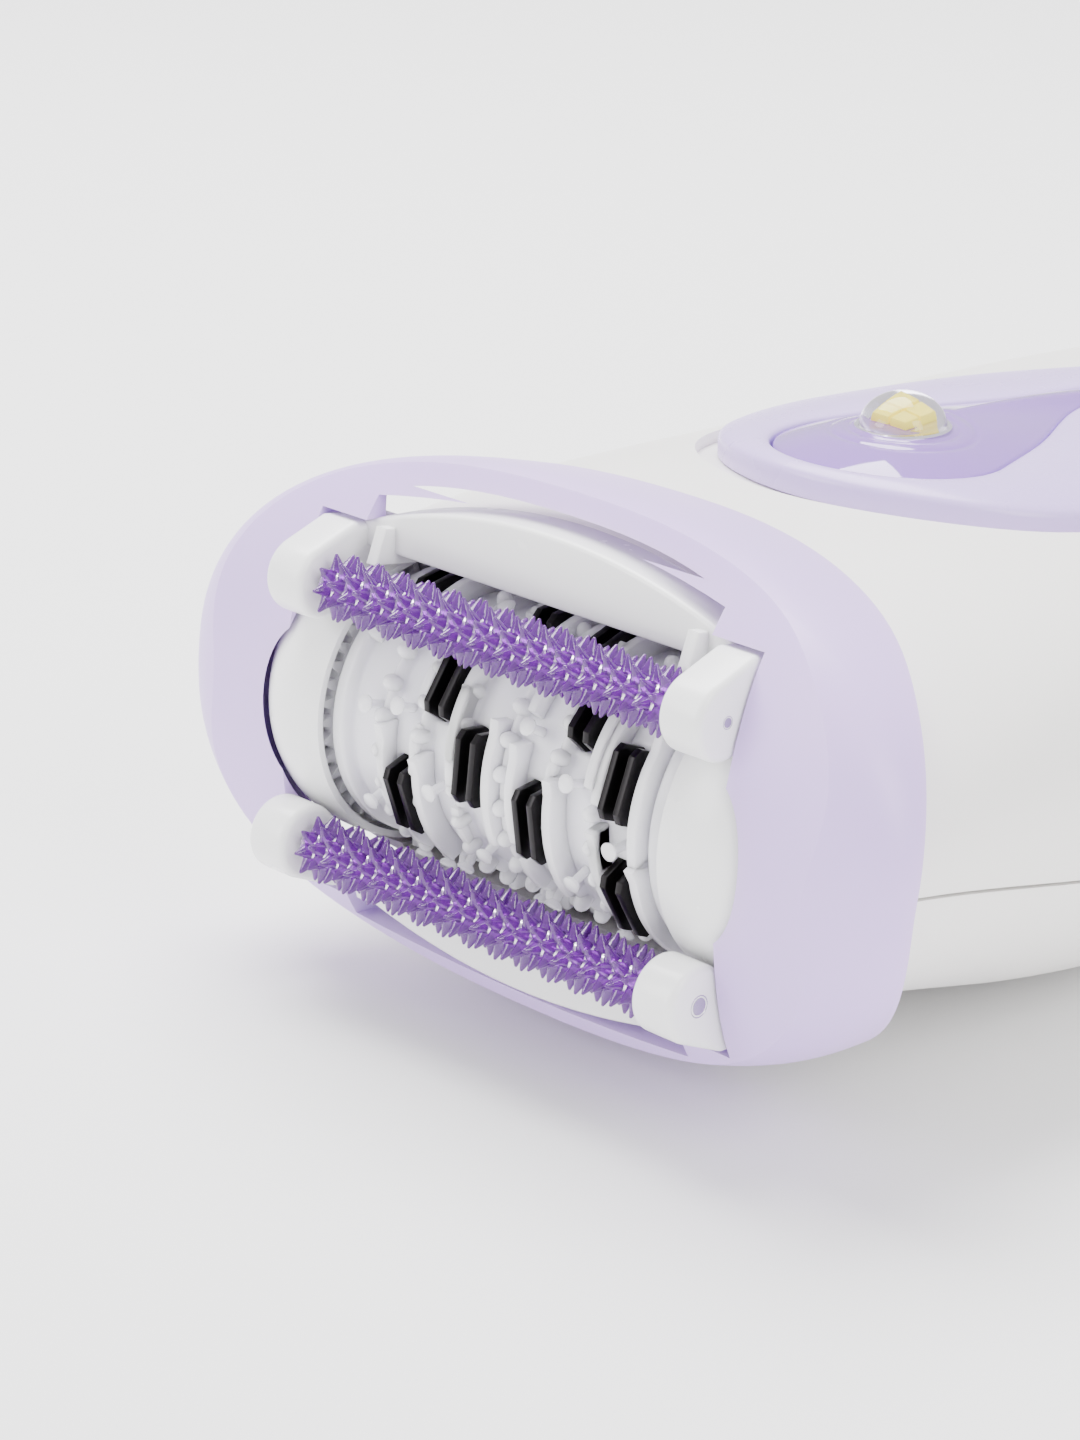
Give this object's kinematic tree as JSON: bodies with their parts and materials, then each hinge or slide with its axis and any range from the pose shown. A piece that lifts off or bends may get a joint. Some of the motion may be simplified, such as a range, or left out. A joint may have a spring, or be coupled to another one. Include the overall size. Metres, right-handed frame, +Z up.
{
  "type": "cordless epilator",
  "caption": "Cordless epilator with a turning tweezer drum, a clip-on massage cap with spiked rollers, and a teardrop work light on the handle.",
  "frame": {"origin": "centre of the footprint, at the level of the flat land on the handle's belly that the epilator rests on", "axes": "+Z up with the work light facing up, +Y from the head towards the tail, +X across the head along the tweezer drum"},
  "size_m": [0.0684, 0.1576, 0.0403],
  "materials": {
    "white_plastic": "satin",
    "body_white": "satin",
    "cap_lavender": "satin",
    "chassis_violet": "satin",
    "bezel_lavender": "satin",
    "roller_violet": "gloss",
    "drum_milky": "satin",
    "tweezer_steel": "satin",
    "shaft_steel": "polished",
    "gear_acetal": "satin",
    "motor_zinc": "satin",
    "copper_tab": "satin",
    "lens_clear": "gloss",
    "led_phosphor": "gloss",
    "board_green": "satin",
    "cell_wrap": "satin",
    "socket_black": "matte",
    "screw_steel": "satin"
  },
  "bodies": {
    "handle": {"upper_shell": "body_white", "lower_shell": "body_white", "shell_screws": "screw_steel", "charging_socket": "socket_black", "light_bezel": "bezel_lavender", "light_lens": "lens_clear", "work_light_led": "led_phosphor", "led_board": "board_green", "main_board": "board_green", "slide_switch_body": "socket_black", "battery_cells": "cell_wrap", "motor_can": "motor_zinc", "motor_terminals": "copper_tab", "gearbox_frame": "white_plastic", "head_chassis": "chassis_violet", "side_cap_left": "white_plastic", "side_cap_right": "white_plastic", "drum_axle": "shaft_steel", "idler_shaft": "shaft_steel", "crown_shaft": "shaft_steel"},
    "drum": {"drum_core": "drum_milky", "drum_gear": "drum_milky", "tweezer_plates_fixed": "tweezer_steel"},
    "moving_tweezers": {"tweezer_plates_moving": "tweezer_steel"},
    "idler": {"idler_gear": "gear_acetal"},
    "crown": {"crown_gear": "gear_acetal"},
    "rotor": {"motor_pinion": "gear_acetal", "motor_shaft": "shaft_steel"},
    "massage_cap": {"cap_frame": "cap_lavender", "upper_roller_bridge": "white_plastic", "lower_roller_bridge": "white_plastic", "upper_roller_axle": "shaft_steel", "lower_roller_axle": "shaft_steel"},
    "upper_roller": {"upper_massage_roller": "roller_violet"},
    "lower_roller": {"lower_massage_roller": "roller_violet"},
    "slider": {"power_slider": "bezel_lavender"}
  },
  "joints": [
    {"name": "drum_spin", "type": "hinge", "parent": "handle", "child": "drum", "pos_m": [0, -0.06484, 0.0206], "axis": [1, 0, 0], "continuous": true},
    {"name": "tweezer_close", "type": "slide", "parent": "drum", "child": "moving_tweezers", "axis": [-1, 0, 0], "range_m": [0, 0.00045], "stiffness_N_per_m": 200},
    {"name": "idler_spin", "type": "hinge", "parent": "handle", "child": "idler", "pos_m": [0, -0.05117, 0.01936], "axis": [1, 0, 0], "continuous": true},
    {"name": "crown_spin", "type": "hinge", "parent": "handle", "child": "crown", "pos_m": [0, -0.044, 0.0187], "axis": [1, 0, 0], "continuous": true},
    {"name": "rotor_spin", "type": "hinge", "parent": "handle", "child": "rotor", "pos_m": [0, -0.03603, 0.01798], "axis": [0, 0.9959, -0.0906], "continuous": true},
    {"name": "cap_pull_off", "type": "slide", "parent": "handle", "child": "massage_cap", "axis": [0, -0.9959, 0.0906], "range_m": [0, 0.03]},
    {"name": "upper_roller_spin", "type": "hinge", "parent": "massage_cap", "child": "upper_roller", "pos_m": [0, -0.07383, 0.03106], "axis": [1, 0, 0], "continuous": true},
    {"name": "lower_roller_spin", "type": "hinge", "parent": "massage_cap", "child": "lower_roller", "pos_m": [0, -0.07606, 0.01198], "axis": [1, 0, 0], "continuous": true},
    {"name": "power_slide", "type": "slide", "parent": "handle", "child": "slider", "axis": [0, 0.9947, -0.1031], "range_m": [0, 0.004]}
  ],
  "couplings": [
    {"joint": "idler_spin", "follows": "drum_spin", "ratio": -2.3889},
    {"joint": "crown_spin", "follows": "drum_spin", "ratio": 3.0714},
    {"joint": "rotor_spin", "follows": "drum_spin", "ratio": 9.8286}
  ]
}
